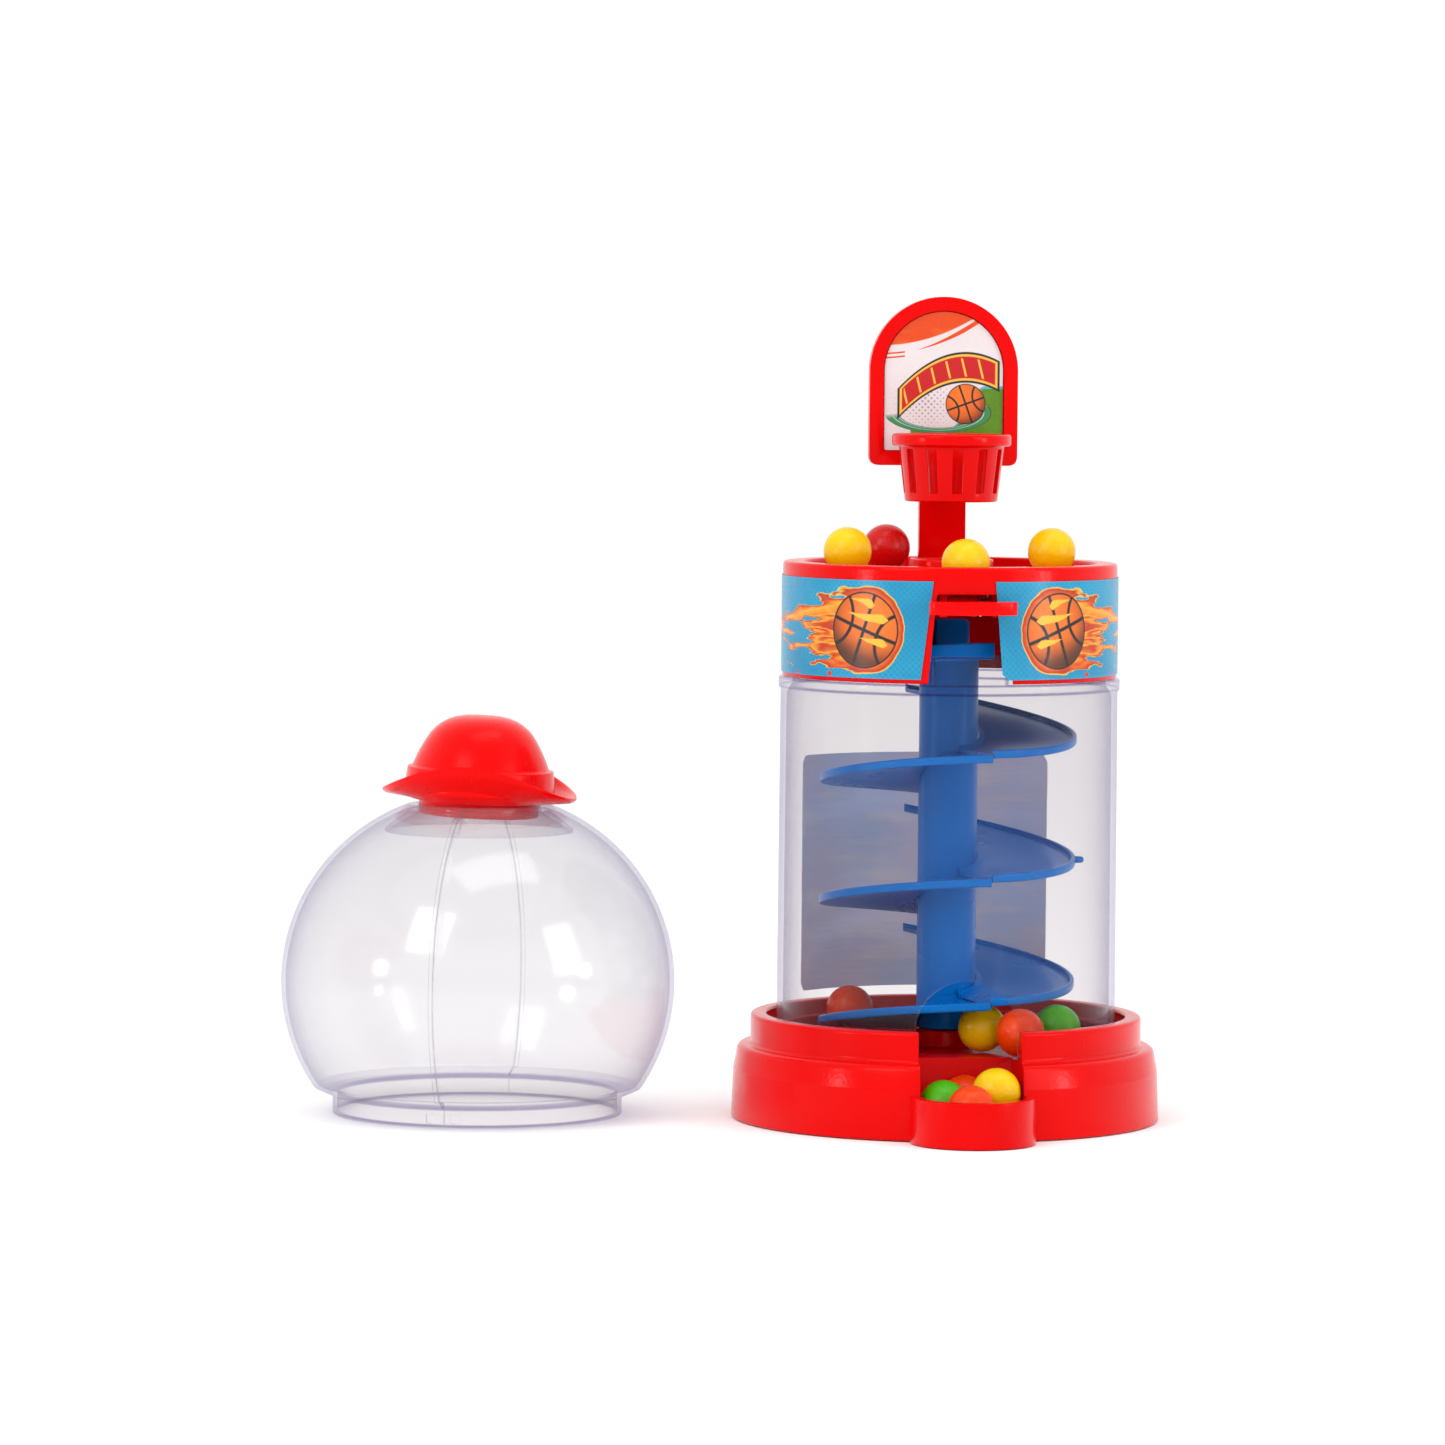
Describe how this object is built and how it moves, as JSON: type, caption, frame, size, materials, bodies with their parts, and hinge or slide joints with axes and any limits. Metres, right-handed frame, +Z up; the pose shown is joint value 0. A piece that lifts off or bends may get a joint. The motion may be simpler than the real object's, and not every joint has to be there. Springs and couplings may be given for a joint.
{
  "type": "gumball machine",
  "caption": "Toy gumball machine: clear barrel with a spiral ball run, basketball hoop and ball launcher on top, front tray, and a lift-off clear globe with a hat-shaped lid.",
  "frame": {"origin": "the machine's axis at the table, on the flat underside of the bottom plate", "axes": "+Z up along the barrel's axis, -Y towards the front notch and tray, +X to the machine's right seen from the front"},
  "size_m": [0.232, 0.1367, 0.2171],
  "materials": {
    "red_plastic": "glossy moulded ABS",
    "bright_red_plastic": "glossy moulded ABS",
    "blue_plastic": "satin moulded plastic",
    "clear_plastic": "clear polystyrene",
    "collar_print": "printed glossy sticker",
    "board_print": "printed glossy sticker",
    "label_back": "adhesive side of a label",
    "steel": "plated steel",
    "yellow_candy": "sugar glaze",
    "red_candy": "sugar glaze",
    "green_candy": "sugar glaze",
    "orange_candy": "sugar glaze"
  },
  "bodies": {
    "machine": {"base_shell": "red_plastic", "bottom_plate": "red_plastic", "base_screw_1": "steel", "base_screw_2": "steel", "base_screw_3": "steel", "base_screw_4": "steel", "clear_tube": "clear_plastic", "spiral_column": "blue_plastic", "spiral_landing": "blue_plastic", "spiral_ramp_1": "blue_plastic", "spiral_ramp_2": "blue_plastic", "spiral_ramp_3": "blue_plastic", "spiral_ramp_4": "blue_plastic", "spiral_ramp_5": "blue_plastic", "spiral_ramp_6": "blue_plastic", "bowl_collar": "red_plastic", "lever_pin": "steel", "lever_spring": "steel", "backboard_post": "red_plastic", "backboard_sticker": "board_print", "hoop_basket": "red_plastic", "collar_sticker_left": "collar_print", "collar_sticker_right": "collar_print", "rear_label": "label_back", "gumball_bowl_1": "yellow_candy", "gumball_bowl_2": "red_candy", "gumball_bowl_3": "yellow_candy", "gumball_floor_1": "orange_candy", "gumball_floor_2": "yellow_candy", "gumball_floor_3": "orange_candy", "gumball_floor_4": "green_candy", "gumball_tray_1": "green_candy", "gumball_tray_2": "orange_candy", "gumball_tray_3": "yellow_candy", "gumball_tray_4": "orange_candy"},
    "lever": {"launcher_lever": "bright_red_plastic"},
    "launch_ball": {"gumball_launch": "yellow_candy"},
    "globe": {"globe_left_half": "clear_plastic", "globe_right_half": "clear_plastic"},
    "hat": {"hat_lid": "bright_red_plastic"}
  },
  "joints": [
    {"name": "lever_press", "type": "hinge", "parent": "machine", "child": "lever", "pos_m": [0, -0.038, 0.137], "axis": [1, 0, 0], "range_deg": [0, 15], "stiffness_Nm_per_rad": 0.02, "springref_deg": -17.19, "deforming": ["lever_spring"]},
    {"name": "ball_rise", "type": "slide", "parent": "machine", "child": "launch_ball", "axis": [0, 0, 1], "range_m": [0, 0.00267]},
    {"name": "globe_lift", "type": "slide", "parent": "machine", "child": "globe", "axis": [0, 0, 1], "range_m": [0, 0.225]},
    {"name": "hat_lift", "type": "slide", "parent": "globe", "child": "hat", "axis": [0, 0, 1], "range_m": [0, 0.04]}
  ],
  "couplings": [
    {"joint": "lever_press", "follows": "ball_rise", "rad_per_m": 98.04}
  ]
}
